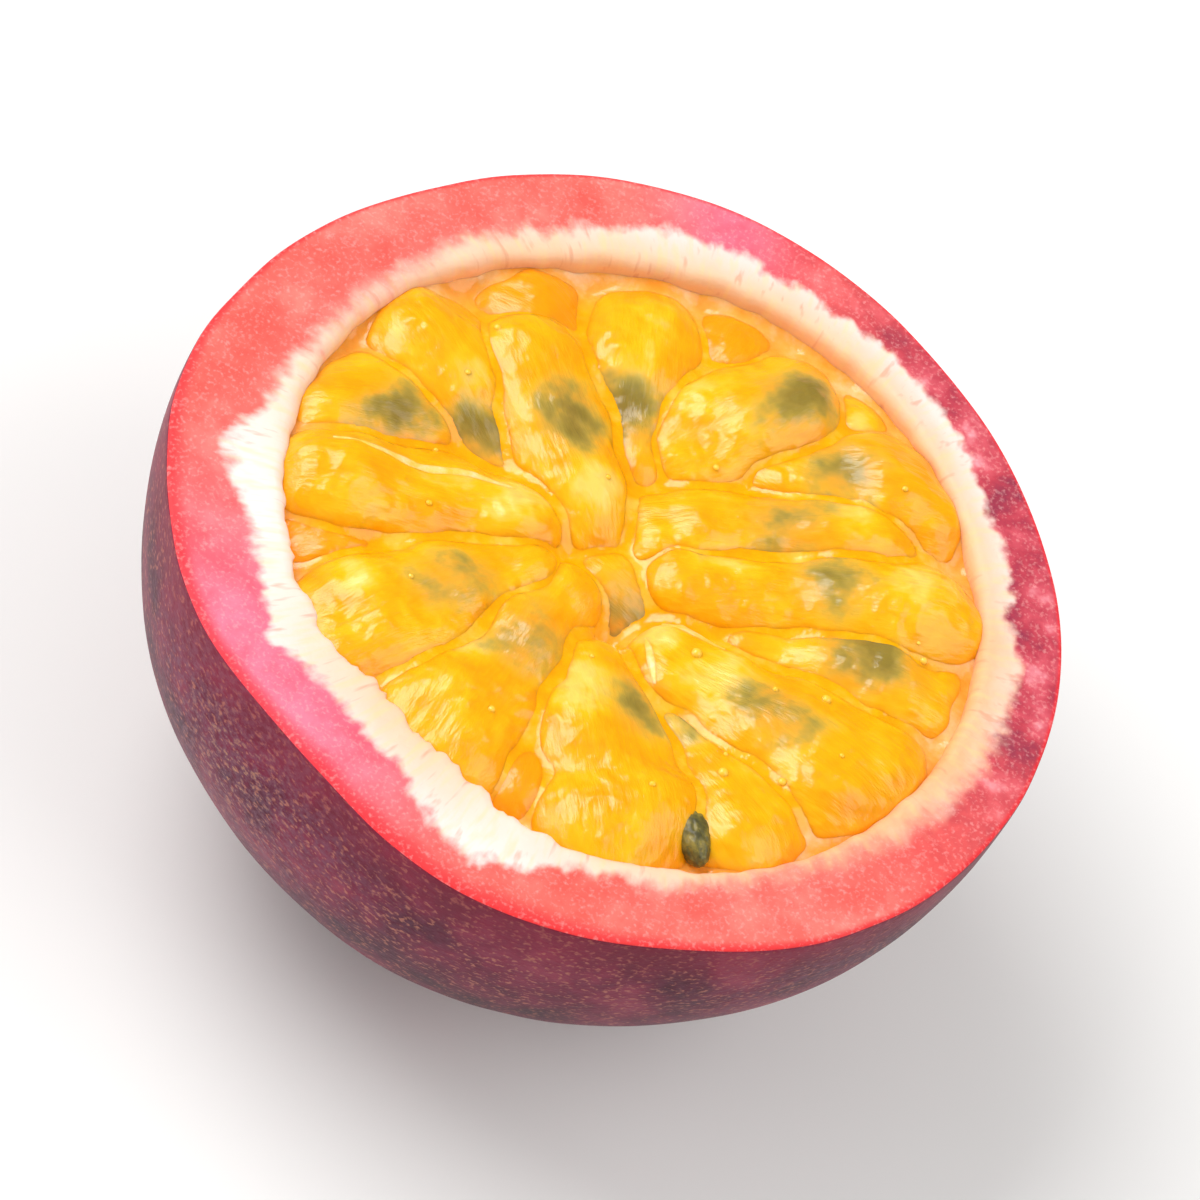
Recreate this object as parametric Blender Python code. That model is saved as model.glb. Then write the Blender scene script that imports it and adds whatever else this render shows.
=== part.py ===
"""Half a passion fruit, cut across its middle and lying cut face up.

The half is a bowl of firm purple-skinned rind, lined with white pith.  A bed of pulp fills
the bowl, and on it lie the juice sacs that the knife laid bare.  Each sac grows from the wall
towards the middle, and is pressed flat where it meets its neighbours, the pith or the bed.

Lengths are in metres, +Z is up the fruit's own axis, and the origin is the middle of the small
flat spot that the half rests on.
"""

import math

import bmesh
import bpy
import numpy as np

MM = 0.001

# Driving dimensions of the half.
SKIN_RADIUS = 31.2 * MM  # widest radius of the fruit
SKIN_DEPTH = 31.0 * MM  # from the widest section down to the round end
FOOT_RADIUS = 5.0 * MM  # flat spot that the half rests on
CUT_RISE = 1.0 * MM  # the knife passed this far above the widest section
RIND_THICKNESS = 4.0 * MM  # firm pink wall under the skin
PITH_THICKNESS = 2.6 * MM  # white spongy lining
TOUCH_GAP = 0.3 * MM  # clearance kept between pieces that touch

# Heights that follow from them.
FOOT_ANGLE = math.asin(FOOT_RADIUS / SKIN_RADIUS)
MIDDLE_HEIGHT = SKIN_DEPTH * math.cos(FOOT_ANGLE)
CUT_HEIGHT = MIDDLE_HEIGHT + CUT_RISE

# A grown fruit isn't round: each wave is (lobes round the fruit, share of the radius, bearing
# of a high point in degrees).
SKIN_WAVES = ((2, 0.006, 20), (3, 0.008, 92), (4, 0.007, 8), (5, 0.004, 36))
PITH_WAVES = ((3, 0.010, 60), (5, 0.008, 20), (7, 0.007, 45))
CAVITY_WAVES = ((2, 0.008, 40), (3, 0.008, 75), (5, 0.006, 10))

# The hollow lies off centre, so the wall is thinner on one side.
PITH_SHIFT = (0.5 * MM, 0.2 * MM)
CAVITY_SHIFT = (0.9 * MM, 0.6 * MM)

# The pulp bed under the sacs, and how far it dips in the middle.
BED_SINK = 6.4 * MM
BED_DISH = 0.6 * MM

# How many sides the faceted solids have.
SIDES = 40
BOWL_RINGS = 9
BED_RINGS = 6
SAC_SPOKES = 12
SAC_CAP_ANGLES = (30.0, 60.0, 90.0)
SAC_BODY_STEPS = (0.1, 0.3, 0.5, 0.7, 0.9)

# The juice sacs that show, each from the wall in to the core:
# (bearing, reach and radius at the wall; bearing, reach and radius at the core; depth of the
# sac's top under the cut).  Bearings are in degrees and the rest in millimetres.
SACS = (
    (194, 19.5, 3.7, 173, 6.5, 3.7, 0.6),
    (206, 20.0, 3.6, 203, 15.0, 2.7, 2.4),
    (229, 18.5, 5.8, 213, 6.0, 2.7, 0.5),
    (257, 17.5, 5.5, 239, 4.5, 3.0, 0.7),
    (275, 18.0, 2.9, 275, 12.0, 2.0, 2.0),
    (295, 19.0, 6.0, 284, 9.0, 3.4, 0.3),
    (321, 21.5, 4.4, 318, 12.5, 2.9, 0.9),
    (343, 22.0, 6.0, 329, 9.0, 3.7, 0.2),
    (9, 22.5, 4.3, 8, 11.0, 2.6, 1.5),
    (24, 21.5, 4.8, 32, 6.0, 3.2, 0.6),
    (42, 19.0, 3.7, 69, 6.0, 3.8, 0.8),
    (47, 23.5, 4.6, 66, 16.0, 3.2, 0.7),
    (63, 23.5, 2.9, 68, 21.5, 2.5, 2.0),
    (75, 19.5, 4.6, 87, 13.0, 3.8, 0.6),
    (90, 22.0, 3.2, 92, 20.5, 2.6, 2.2),
    (105, 20.0, 4.6, 100, 10.5, 2.6, 1.6),
    (129, 21.5, 4.6, 122, 19.0, 3.6, 2.0),
    (133, 15.5, 4.3, 127, 4.5, 3.8, 0.8),
    (151, 20.0, 4.3, 152, 11.0, 2.9, 1.3),
    (178, 21.0, 5.0, 167, 16.5, 3.4, 1.3),
    (123, 0.6, 2.6, 357, 4.0, 2.6, 3.0),
)
SAC_FLATNESS = 0.73  # height of a sac's section over its width
SAC_BELLY = 0.10  # how much a sac swells between its ends
CORE_DROP = 1.0 * MM  # the sacs sink this much towards the core
PRESS_SOFTNESS = 0.2 * MM  # rounding where a free side turns into a pressed one
RAY_REACH = 7.0 * MM
RAY_STEPS = 140

COLOURS = {
    "rind": ((0.18, 0.03, 0.05), 0.45),
    "pith": ((0.93, 0.82, 0.72), 0.60),
    "pulp": ((0.90, 0.35, 0.03), 0.25),
    "juice_sac": ((0.95, 0.55, 0.02), 0.18),
}


def clear_scene():
    for thing in list(bpy.data.objects):
        bpy.data.objects.remove(thing, do_unlink=True)


def wave(waves, bearing):
    """How far an uneven outline stands out at a bearing, as a share of its radius."""
    return sum(
        share * np.cos(lobes * (bearing - math.radians(top))) for lobes, share, top in waves
    )


class Layer:
    """One bowl-shaped surface of the half, such as the skin or the wall of the hollow."""

    def __init__(self, inset, waves, shift):
        self.radius = SKIN_RADIUS - inset
        self.depth = SKIN_DEPTH - inset
        self.waves = waves
        self.shift = shift

    def at(self, bearing, turn):
        """The point at a bearing, turned up by an angle from the round end."""
        lean = np.sin(turn)
        radius = self.radius * lean * (1 + lean * wave(self.waves, bearing))
        return np.array(
            [
                radius * np.cos(bearing) + self.shift[0] * lean,
                radius * np.sin(bearing) + self.shift[1] * lean,
                MIDDLE_HEIGHT - self.depth * np.cos(turn),
            ]
        )

    def turn_at(self, height):
        """The turn at which the surface passes a height."""
        return np.arccos(np.clip((MIDDLE_HEIGHT - height) / self.depth, -1, 1))

    def clearance(self, points):
        """How far inside the surface points lie, measured sideways. Negative is outside."""
        turn = self.turn_at(points[..., 2])
        lean = np.sin(turn)
        x = points[..., 0] - self.shift[0] * lean
        y = points[..., 1] - self.shift[1] * lean
        bearing = np.arctan2(y, x)
        return self.radius * lean * (1 + lean * wave(self.waves, bearing)) - np.hypot(x, y)


SKIN = Layer(0.0, SKIN_WAVES, (0.0, 0.0))
RIND_INSIDE = Layer(RIND_THICKNESS, PITH_WAVES, PITH_SHIFT)
PITH_OUTSIDE = Layer(RIND_THICKNESS + TOUCH_GAP, PITH_WAVES, PITH_SHIFT)
HOLLOW = Layer(RIND_THICKNESS + PITH_THICKNESS, CAVITY_WAVES, CAVITY_SHIFT)
PULP_OUTSIDE = Layer(RIND_THICKNESS + PITH_THICKNESS + TOUCH_GAP, CAVITY_WAVES, CAVITY_SHIFT)


def bed_height(x, y):
    """Height of the pulp bed, which dips towards the middle."""
    out = np.clip(np.hypot(x, y) / PULP_OUTSIDE.radius, 0, 1)
    return CUT_HEIGHT - BED_SINK - BED_DISH * (1 - out**2)


def bearings():
    return [2 * math.pi * i / SIDES for i in range(SIDES)]


def ring_of(mesh, layer, turn):
    return [mesh.verts.new(layer.at(bearing, turn)) for bearing in bearings()]


def rings_up(mesh, layer, first_turn, last_turn, count):
    """Rings of a layer from near its round end up to last_turn."""
    turns = np.linspace(first_turn, last_turn, count)
    return [ring_of(mesh, layer, turn) for turn in turns]


def join_rings(mesh, rings):
    """Four-sided faces between each ring and the next."""
    for low, high in zip(rings, rings[1:]):
        for i in range(len(low)):
            k = (i + 1) % len(low)
            mesh.faces.new((low[i], low[k], high[k], high[i]))


def close_ring(mesh, ring, tip):
    """A fan of triangles from a ring to a tip."""
    point = mesh.verts.new(tip)
    for i, vertex in enumerate(ring):
        mesh.faces.new((vertex, ring[(i + 1) % len(ring)], point))


def finish_solid(name, mesh, finish):
    """Turns a built mesh into an object with its material, faces pointing out."""
    bmesh.ops.recalc_face_normals(mesh, faces=mesh.faces)
    data = bpy.data.meshes.new(name)
    mesh.to_mesh(data)
    mesh.free()
    data.shade_smooth()
    data.set_sharp_from_angle(angle=math.radians(35))
    made = bpy.data.objects.new(name, data)
    bpy.context.scene.collection.objects.link(made)
    data.materials.append(material(finish))
    return made


def material(finish):
    """One Principled material for each kind of piece."""
    if finish in bpy.data.materials:
        return bpy.data.materials[finish]
    colour, roughness = COLOURS[finish]
    made = bpy.data.materials.new(finish)
    made.use_nodes = True
    shader = made.node_tree.nodes["Principled BSDF"]
    shader.inputs["Base Color"].default_value = (*colour, 1.0)
    shader.inputs["Roughness"].default_value = roughness
    shader.inputs["Metallic"].default_value = 0.0
    return made


def bowl(name, outside, inside, finish, foot=False):
    """A cup between two layers, open at the cut. With foot, its round end is cut flat."""
    mesh = bmesh.new()
    first = FOOT_ANGLE if foot else math.radians(9)
    outer = rings_up(mesh, outside, first, outside.turn_at(CUT_HEIGHT), BOWL_RINGS)
    inner = rings_up(mesh, inside, math.radians(12), inside.turn_at(CUT_HEIGHT), BOWL_RINGS)
    if foot:
        mesh.faces.new(outer[0])
    else:
        close_ring(mesh, outer[0], outside.at(0.0, 0.0))
    close_ring(mesh, inner[0], inside.at(0.0, 0.0))
    join_rings(mesh, outer + inner[::-1])
    return finish_solid(name, mesh, finish)


def pulp_bed():
    """The pulp under the sacs, down to the round end of the hollow."""
    mesh = bmesh.new()
    edge_turn = PULP_OUTSIDE.turn_at(CUT_HEIGHT - BED_SINK)
    sides = rings_up(mesh, PULP_OUTSIDE, math.radians(12), edge_turn, BOWL_RINGS - 1)
    close_ring(mesh, sides[0], PULP_OUTSIDE.at(0.0, 0.0))
    rim = [vertex.co.copy() for vertex in sides[-1]]
    top = []
    for k in range(1, BED_RINGS):
        share = 1 - k / BED_RINGS
        top.append(
            [
                mesh.verts.new((co.x * share, co.y * share, bed_height(co.x * share, co.y * share)))
                for co in rim
            ]
        )
    join_rings(mesh, [*sides, *top])
    close_ring(mesh, top[-1], (0.0, 0.0, bed_height(0.0, 0.0)))
    return finish_solid("pulp", mesh, "pulp")


class Sac:
    """A juice sac: a tapered, round-ended spindle between a wall end and a core end."""

    def __init__(self, wall_bearing, wall_reach, wall_radius, core_bearing, core_reach,
                 core_radius, top_depth):
        self.wall_radius = wall_radius * MM
        self.core_radius = core_radius * MM
        top = CUT_HEIGHT - top_depth * MM
        self.wall_end = self.end(wall_bearing, wall_reach, top - SAC_FLATNESS * self.wall_radius)
        core_height = top - CORE_DROP - SAC_FLATNESS * self.core_radius
        self.core_end = self.end(core_bearing, core_reach, core_height)

    @staticmethod
    def end(bearing, reach, height):
        angle = math.radians(bearing)
        return np.array([reach * MM * math.cos(angle), reach * MM * math.sin(angle), height])

    def distance(self, points):
        """How far points lie outside the sac's own free surface. Negative is inside."""
        squash = np.array([1.0, 1.0, 1 / SAC_FLATNESS])
        axis = (self.core_end - self.wall_end) * squash
        away = (points - self.wall_end) * squash
        along = np.clip(away @ axis / (axis @ axis), 0, 1)
        radius = self.wall_radius + along * (self.core_radius - self.wall_radius)
        radius = radius * (1 + SAC_BELLY * np.sin(math.pi * along))
        return np.linalg.norm(away - along[..., None] * axis, axis=-1) - radius

    def rays(self):
        """Rings of (start, direction) from the wall end to the core end, and the two tips."""
        axis = self.core_end - self.wall_end
        ahead = axis / np.linalg.norm(axis)
        side = np.cross(ahead, (0.0, 0.0, 1.0))
        side /= np.linalg.norm(side)
        lift = np.cross(side, ahead)
        spokes = [
            math.cos(turn) * side + math.sin(turn) * lift
            for turn in np.arange(SAC_SPOKES) * 2 * math.pi / SAC_SPOKES
        ]
        caps = [math.radians(angle) for angle in SAC_CAP_ANGLES]
        rings = [
            [(self.wall_end, spoke * math.sin(a) - ahead * math.cos(a)) for spoke in spokes]
            for a in caps
        ]
        rings += [
            [(self.wall_end + axis * step, spoke) for spoke in spokes] for step in SAC_BODY_STEPS
        ]
        rings += [
            [(self.core_end, spoke * math.sin(a) + ahead * math.cos(a)) for spoke in spokes]
            for a in reversed(caps)
        ]
        return rings, (self.wall_end, -ahead), (self.core_end, ahead)


def soft_maximum(values):
    """The largest of several lengths, rounded over where two are about equal."""
    most = np.max(values, axis=0)
    return most + PRESS_SOFTNESS * np.log(
        np.sum(np.exp((values - most) / PRESS_SOFTNESS), axis=0)
    )


def room_for(sac, others, points):
    """Positive where a point is outside the room that the sac may fill."""
    own = sac.distance(points)
    limits = [own, TOUCH_GAP - HOLLOW.clearance(points)]
    limits.append(bed_height(points[..., 0], points[..., 1]) + TOUCH_GAP - points[..., 2])
    limits += [own - other.distance(points) + TOUCH_GAP for other in others]
    return soft_maximum(np.array(limits))


def surface_point(sac, others, start, direction):
    """Where a ray from the sac's axis leaves the room that the sac may fill."""
    lengths = np.linspace(0, RAY_REACH, RAY_STEPS)
    points = start + lengths[:, None] * direction
    outside = room_for(sac, others, points)
    k = int(np.argmax(outside > 0))
    if k == 0:
        raise ValueError("a sac's axis lies outside the room it may fill")
    share = outside[k - 1] / (outside[k - 1] - outside[k])
    return start + direction * (lengths[k - 1] + share * (lengths[k] - lengths[k - 1]))


def juice_sac(name, sac, others):
    mesh = bmesh.new()
    rings, wall_tip, core_tip = sac.rays()
    made = [
        [mesh.verts.new(surface_point(sac, others, *ray)) for ray in ring] for ring in rings
    ]
    join_rings(mesh, made)
    close_ring(mesh, made[0], surface_point(sac, others, *wall_tip))
    close_ring(mesh, made[-1], surface_point(sac, others, *core_tip))
    return finish_solid(name, mesh, "juice_sac")


def stand_on_origin(pieces):
    """Moves the whole half sideways so that the origin is the middle of its outline."""
    corners = np.array([vertex.co for piece in pieces for vertex in piece.data.vertices])
    middle = (corners.min(axis=0) + corners.max(axis=0)) / 2
    for piece in pieces:
        for vertex in piece.data.vertices:
            vertex.co.x -= middle[0]
            vertex.co.y -= middle[1]


def main():
    clear_scene()
    pieces = [
        bowl("rind", SKIN, RIND_INSIDE, "rind", foot=True),
        bowl("pith", PITH_OUTSIDE, HOLLOW, "pith"),
        pulp_bed(),
    ]
    sacs = [Sac(*row) for row in SACS]
    for number, sac in enumerate(sacs, start=1):
        others = [other for other in sacs if other is not sac]
        pieces.append(juice_sac(f"juice_sac_{number:02d}", sac, others))
    stand_on_origin(pieces)


main()
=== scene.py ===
"""Half a passion fruit, cut face up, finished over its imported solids.

Lengths are in metres, +Z is up the fruit's own axis and the origin is under its middle.
"""

import math

import bpy
import numpy as np
from mathutils import Matrix, Vector, noise
from mathutils.bvhtree import BVHTree


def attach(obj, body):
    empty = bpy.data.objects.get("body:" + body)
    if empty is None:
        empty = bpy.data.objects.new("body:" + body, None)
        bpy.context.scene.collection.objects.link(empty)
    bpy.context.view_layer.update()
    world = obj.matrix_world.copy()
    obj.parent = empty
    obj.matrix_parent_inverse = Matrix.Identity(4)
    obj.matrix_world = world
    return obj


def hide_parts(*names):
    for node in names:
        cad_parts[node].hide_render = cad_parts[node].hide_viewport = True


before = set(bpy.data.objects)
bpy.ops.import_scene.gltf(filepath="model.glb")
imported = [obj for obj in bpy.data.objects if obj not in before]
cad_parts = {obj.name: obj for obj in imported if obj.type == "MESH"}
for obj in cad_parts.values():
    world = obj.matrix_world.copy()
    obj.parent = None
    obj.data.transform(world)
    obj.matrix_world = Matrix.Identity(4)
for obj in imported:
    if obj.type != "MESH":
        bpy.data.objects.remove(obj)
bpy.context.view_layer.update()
MM = 0.001

# ---------------------------------------------------------------------------------------------
# The wall of the fruit: firm pink rind under a plum-purple skin, lined with white spongy pith.
# A knife cut it flat across the top. It is turned in one piece, because rind and pith grow
# together, and its outline then gets the uneven waves of a grown fruit.

SKIN_RADIUS = 31.2 * MM
SKIN_DEPTH = 31.0 * MM
FOOT_RADIUS = 5.0 * MM
CUT_RISE = 1.0 * MM
WALL = 6.6 * MM
FOOT_ANGLE = math.asin(FOOT_RADIUS / SKIN_RADIUS)
MIDDLE_HEIGHT = SKIN_DEPTH * math.cos(FOOT_ANGLE)
CUT_HEIGHT = MIDDLE_HEIGHT + CUT_RISE
# Waves: how many round the fruit, share of the radius, bearing of a crest in degrees.
SKIN_WAVES = ((2, 0.006, 20), (3, 0.008, 92), (4, 0.007, 8), (5, 0.004, 36))
HOLLOW_WAVES = ((2, 0.008, 40), (3, 0.008, 75), (5, 0.006, 10))
HOLLOW_SHIFT = (0.9 * MM, 0.6 * MM)
CUT_EDGE_ROUND = 0.25 * MM
PITH_EDGE_ROUND = 0.9 * MM
PROFILE_DROPS = (*np.arange(1.2, 9.0, 0.35), 11, 14, 17, 20, 22, 23.4)
SPIN_STEPS = 420
# The shoulder under the cut bulges past the rim where the rim is drawn in: bearing and width in
# degrees, and millimetres.
RIM_DRAWN_IN = ((185, 20, 0.45), (207, 16, 0.6), (246, 23, 1.85), (300, 18, 0.45))
SHOULDER = 8.5 * MM
TORN_AT, TORN_WIDTH, TORN_BACK = 245, 38, 1.1


def deselect():
    """Leaves object mode with nothing selected."""
    if bpy.context.object and bpy.context.object.mode != "OBJECT":
        bpy.ops.object.mode_set(mode="OBJECT")
    bpy.ops.object.select_all(action="DESELECT")


def positions(piece):
    """The vertices of a piece as rows of x, y, z."""
    rows = np.empty(len(piece.data.vertices) * 3)
    piece.data.vertices.foreach_get("co", rows)
    return rows.reshape(-1, 3)


def place_vertices(piece, rows):
    """Moves the vertices of a piece to these rows of x, y, z."""
    piece.data.vertices.foreach_set("co", np.asarray(rows, float).ravel())
    piece.data.update()


def point_values(piece, name, values):
    """Keeps one number, or one vector, for each vertex, for the material to read."""
    values = np.asarray(values, float)
    kind = "FLOAT_VECTOR" if values.ndim == 2 else "FLOAT"
    layer = piece.data.attributes.new(name, kind, "POINT")
    layer.data.foreach_set("vector" if values.ndim == 2 else "value", values.ravel())


def rough(rows, size, seed):
    """Smooth unevenness from -1 to 1 over points, with lumps of about one size."""
    shift = Vector((seed * 7.3, seed * 3.1, seed * 5.7))
    return np.array([noise.noise(Vector(row) / size + shift) for row in rows]) * 1.6


def smooth_step(low, high, values):
    """0 below low, 1 above high, with an even curve between them."""
    share = np.clip((values - low) / (high - low), 0, 1)
    return share * share * (3 - 2 * share)


def outline_wave(waves, bearing):
    """How far a waved outline stands past its circle, as a share of the radius."""
    return sum(s * np.cos(k * (bearing - math.radians(top))) for k, s, top in waves)


def side(middle, width):
    """For the wall's points: 1 at a bearing and falling to 0 away from it, in degrees."""
    away = (degrees - middle + 180) % 360 - 180
    return np.exp(-((away / width) ** 2))


# The CAD rind's flat foot is centred on the fruit's axis.
rind_rows = positions(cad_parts["rind"])
AXIS = rind_rows[rind_rows[:, 2] < rind_rows[:, 2].min() + 0.01 * MM][:, :2]
AXIS = (AXIS.min(axis=0) + AXIS.max(axis=0)) / 2

# The profile runs from the foot up the skin, over the cut face and down the hollow. Each of its
# points is (radius, height, share of the way through the wall, length along from the skin).
hollow_radius = SKIN_RADIUS - WALL
hollow_depth = SKIN_DEPTH - WALL
skin_top = math.acos(-(CUT_RISE - CUT_EDGE_ROUND) / SKIN_DEPTH)
profile = [(0.0, 0.0, 0.0, 0.0)]
for turn in np.linspace(FOOT_ANGLE, skin_top, 92):
    height = MIDDLE_HEIGHT - SKIN_DEPTH * math.cos(turn)
    profile.append((SKIN_RADIUS * math.sin(turn), height, 0.0, height - CUT_HEIGHT))
rim_radius = profile[-1][0]
for turn in np.radians((30, 60, 90)):
    along = CUT_EDGE_ROUND * (1 - math.cos(turn))
    height = CUT_HEIGHT - CUT_EDGE_ROUND * (1 - math.sin(turn))
    profile.append((rim_radius - along, height, along / WALL, along))
for share in np.linspace(0.08, 1.0, 30):
    along = CUT_EDGE_ROUND + (WALL - PITH_EDGE_ROUND - CUT_EDGE_ROUND) * share
    profile.append((rim_radius - along, CUT_HEIGHT, along / WALL, along))
for turn in np.radians((15, 30, 45, 60, 75, 90)):
    along = WALL - PITH_EDGE_ROUND * (1 - math.sin(turn))
    height = CUT_HEIGHT - PITH_EDGE_ROUND * (1 - math.cos(turn))
    profile.append((rim_radius - along, height, along / WALL, along))
for drop in PROFILE_DROPS:
    height = CUT_HEIGHT - drop * MM
    radius = hollow_radius * math.sqrt(1 - ((MIDDLE_HEIGHT - height) / hollow_depth) ** 2)
    profile.append((radius, height, 1.0, WALL + drop * MM - PITH_EDGE_ROUND))
profile.append((0.0, MIDDLE_HEIGHT - hollow_depth, 1.0, WALL + 24.4 * MM))
profile = np.array(profile)

deselect()
bpy.ops.mesh.primitive_plane_add(size=0.001, location=(0, 0, 0))
wall = bpy.context.object
wall.name = "rind_and_pith"
bpy.ops.object.mode_set(mode="EDIT")
bpy.ops.mesh.select_all(action="SELECT")
bpy.ops.mesh.merge(type="CENTER")
for start, end in zip(profile, profile[1:]):
    step = (end[0] - start[0], 0, end[1] - start[1])
    bpy.ops.mesh.extrude_region_move(TRANSFORM_OT_translate={"value": step})
bpy.ops.mesh.select_all(action="SELECT")
bpy.ops.mesh.spin(steps=SPIN_STEPS, angle=2 * math.pi, center=(0, 0, 0), axis=(0, 0, 1))
bpy.ops.mesh.select_all(action="SELECT")
bpy.ops.mesh.remove_doubles(threshold=0.005 * MM)
bpy.ops.mesh.normals_make_consistent(inside=False)
bpy.ops.object.mode_set(mode="OBJECT")
wall.data.shade_smooth()

rows = positions(wall)
reach = np.hypot(rows[:, 0], rows[:, 1])
bearing = np.arctan2(rows[:, 1], rows[:, 0])
nearest = np.concatenate([
    np.argmin((part[:, :1] - profile[:, 0]) ** 2 + (part[:, 1:] - profile[:, 1]) ** 2, axis=1)
    for part in np.array_split(np.c_[reach, rows[:, 2]], 60)
])
through = profile[nearest, 2]
along = profile[nearest, 3]
lean = np.clip(reach / (SKIN_RADIUS - through * WALL), 0, 1)
grown = (1 - through) * outline_wave(SKIN_WAVES, bearing) + through * outline_wave(
    HOLLOW_WAVES, bearing
)
reach = reach * (1 + lean * grown)
degrees = np.degrees(bearing) % 360
under_cut = np.maximum(0, CUT_HEIGHT - rows[:, 2])
for middle, width, distance in RIM_DRAWN_IN:
    drawn_in = distance * MM * side(middle, width) * np.exp(-((under_cut / SHOULDER) ** 1.5))
    reach = reach - drawn_in
# The skin has shallow dents, and the knife left the cut face not quite flat.
dents = rough(rows, 13 * MM, 1) * 0.16 * MM + rough(rows, 5 * MM, 2) * 0.05 * MM
dents *= smooth_step(6 * MM, 14 * MM, reach) * (1 - through)
reach = reach + dents
on_cut = smooth_step(0.0, 0.6 * MM, along) * (1 - smooth_step(6.6 * MM, 8.6 * MM, along))
lift = rough(rows, 4 * MM, 3) * 0.09 * MM + rough(rows, 1.3 * MM, 4) * 0.04 * MM
lift -= 0.25 * MM * smooth_step(2.5 * MM, 4.5 * MM, along) * on_cut * 0.5
# Where pulp was pulled off, the inner edge of the pith is torn.
torn = np.exp(-(((degrees - TORN_AT) / TORN_WIDTH) ** 2))
fray = rough(np.c_[rows[:, :2], rows[:, 2] * 0.4], 1.6 * MM, 5)
fray += 0.45 * rough(rows * (1, 1, 0.5), 0.6 * MM, 6) * (0.4 + torn)
edge = smooth_step(5.0 * MM, 6.4 * MM, along) * (1 - smooth_step(7.5 * MM, 10 * MM, along))
reach = reach + (fray * (0.10 + 0.42 * torn) - TORN_BACK * torn) * MM * edge
rows[:, 0] = AXIS[0] + reach * np.cos(bearing) + HOLLOW_SHIFT[0] * lean * through
rows[:, 1] = AXIS[1] + reach * np.sin(bearing) + HOLLOW_SHIFT[1] * lean * through
rows[:, 2] = rows[:, 2] + lift * on_cut * np.minimum(1, along / MM)
rows[:, 2] = np.minimum(rows[:, 2], CUT_HEIGHT + 0.1 * MM)
place_vertices(wall, rows)

# What the materials read: where a point lies round the fruit and into the wall in millimetres.
point_values(wall, "ring", np.c_[np.cos(bearing), np.sin(bearing), along / MM])
# How strongly each tint shows round the fruit, as (bearing, width in degrees, strength).
TINTS = {
    "crimson": ((30, 30, 1.0), (68, 20, 0.7), (358, 20, 0.5)),
    "blush": ((228, 20, 1.0), (97, 9, 0.9), (250, 14, 0.5)),
    # A painted glow: scarlet along the outer edge of the cut, where light would come through the
    # rim.
    "scarlet_glow": ((282, 26, 1.0), (205, 24, 0.7), (245, 20, 0.7)),
    "peach": ((338, 26, 1.0), (5, 20, 0.8), (135, 16, 0.45)),
    "snow": ((208, 24, 1.0), (275, 14, 0.6), (160, 20, 0.3)),
    "soft": ((325, 25, 1.0), (155, 22, 0.8), (358, 15, 0.3)),
    # Real grey wax bloom, and painted sheen where the bright room would show on the skin.
    "bloom_and_sheen": ((238, 24, 1.0), (335, 24, 0.8), (120, 60, 0.5)),
}
LEAST_BLOOM_AND_SHEEN = 0.12
for name, spots in TINTS.items():
    share = np.clip(sum(strength * side(*spot) for *spot, strength in spots), 0, 1)
    if name == "bloom_and_sheen":
        share = LEAST_BLOOM_AND_SHEEN + (1 - LEAST_BLOOM_AND_SHEEN) * share
    point_values(wall, name, share)
point_values(wall, "cork", side(239, 8) * np.exp(-(((under_cut / MM - 7) / 4.5) ** 2)))
# How far the coloured rind runs in under the cut, in millimetres, round the fruit.
RIND_REACH = (
    (0, 3.5), (9, 3.6), (15, 3.2), (22, 4.4), (31, 3.7), (41, 3.9), (50, 3.2), (60, 3.0),
    (69, 2.9), (79, 3.9), (91, 3.8), (109, 3.4), (119, 4.2), (139, 4.6), (152, 5.6), (162, 5.7),
    (174, 5.1), (188, 4.8), (195, 3.4), (201, 3.5), (209, 4.7), (218, 4.8), (226, 4.1), (230, 3.4),
    (235, 4.5), (249, 4.1), (258, 4.1), (264, 2.9), (269, 2.4), (275, 2.8), (280, 4.1), (286, 5.1),
    (297, 4.9), (306, 5.2), (316, 5.8), (325, 5.5), (336, 4.8), (347, 4.3), (360, 3.5),
)
point_values(wall, "rind_reach", np.interp(degrees, *zip(*RIND_REACH)))


def colour(code):
    """A colour written as sRGB hex becomes the linear values that shaders take."""
    parts = [int(code[i : i + 2], 16) / 255 for i in (1, 3, 5)]
    return (*(p / 12.92 if p <= 0.04045 else ((p + 0.055) / 1.055) ** 2.4 for p in parts), 1.0)


def new_material(name):
    """A new material, its node tree and its shader."""
    made = bpy.data.materials.new(name)
    made.use_nodes = True
    return made, made.node_tree, made.node_tree.nodes["Principled BSDF"]


def node(tree, kind, sockets=None, stops=None, **settings):
    """Adds a shader node. A socket takes a value or another node's output."""
    made = tree.nodes.new(kind)
    for name, value in settings.items():
        setattr(made, name, value)
    for key, value in (sockets or {}).items():
        if isinstance(value, bpy.types.NodeSocket):
            tree.links.new(value, made.inputs[key])
        else:
            made.inputs[key].default_value = value
    if stops:
        ramp = made.color_ramp.elements
        while len(ramp) < len(stops):
            ramp.new(0.5)
        for element, (place, code) in zip(ramp, stops):
            element.position = place
            element.color = colour(code)
    return made


# Patterns on ring are in millimetres: this many of skin for each radian round the fruit.
AROUND = SKIN_RADIUS / MM
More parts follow.
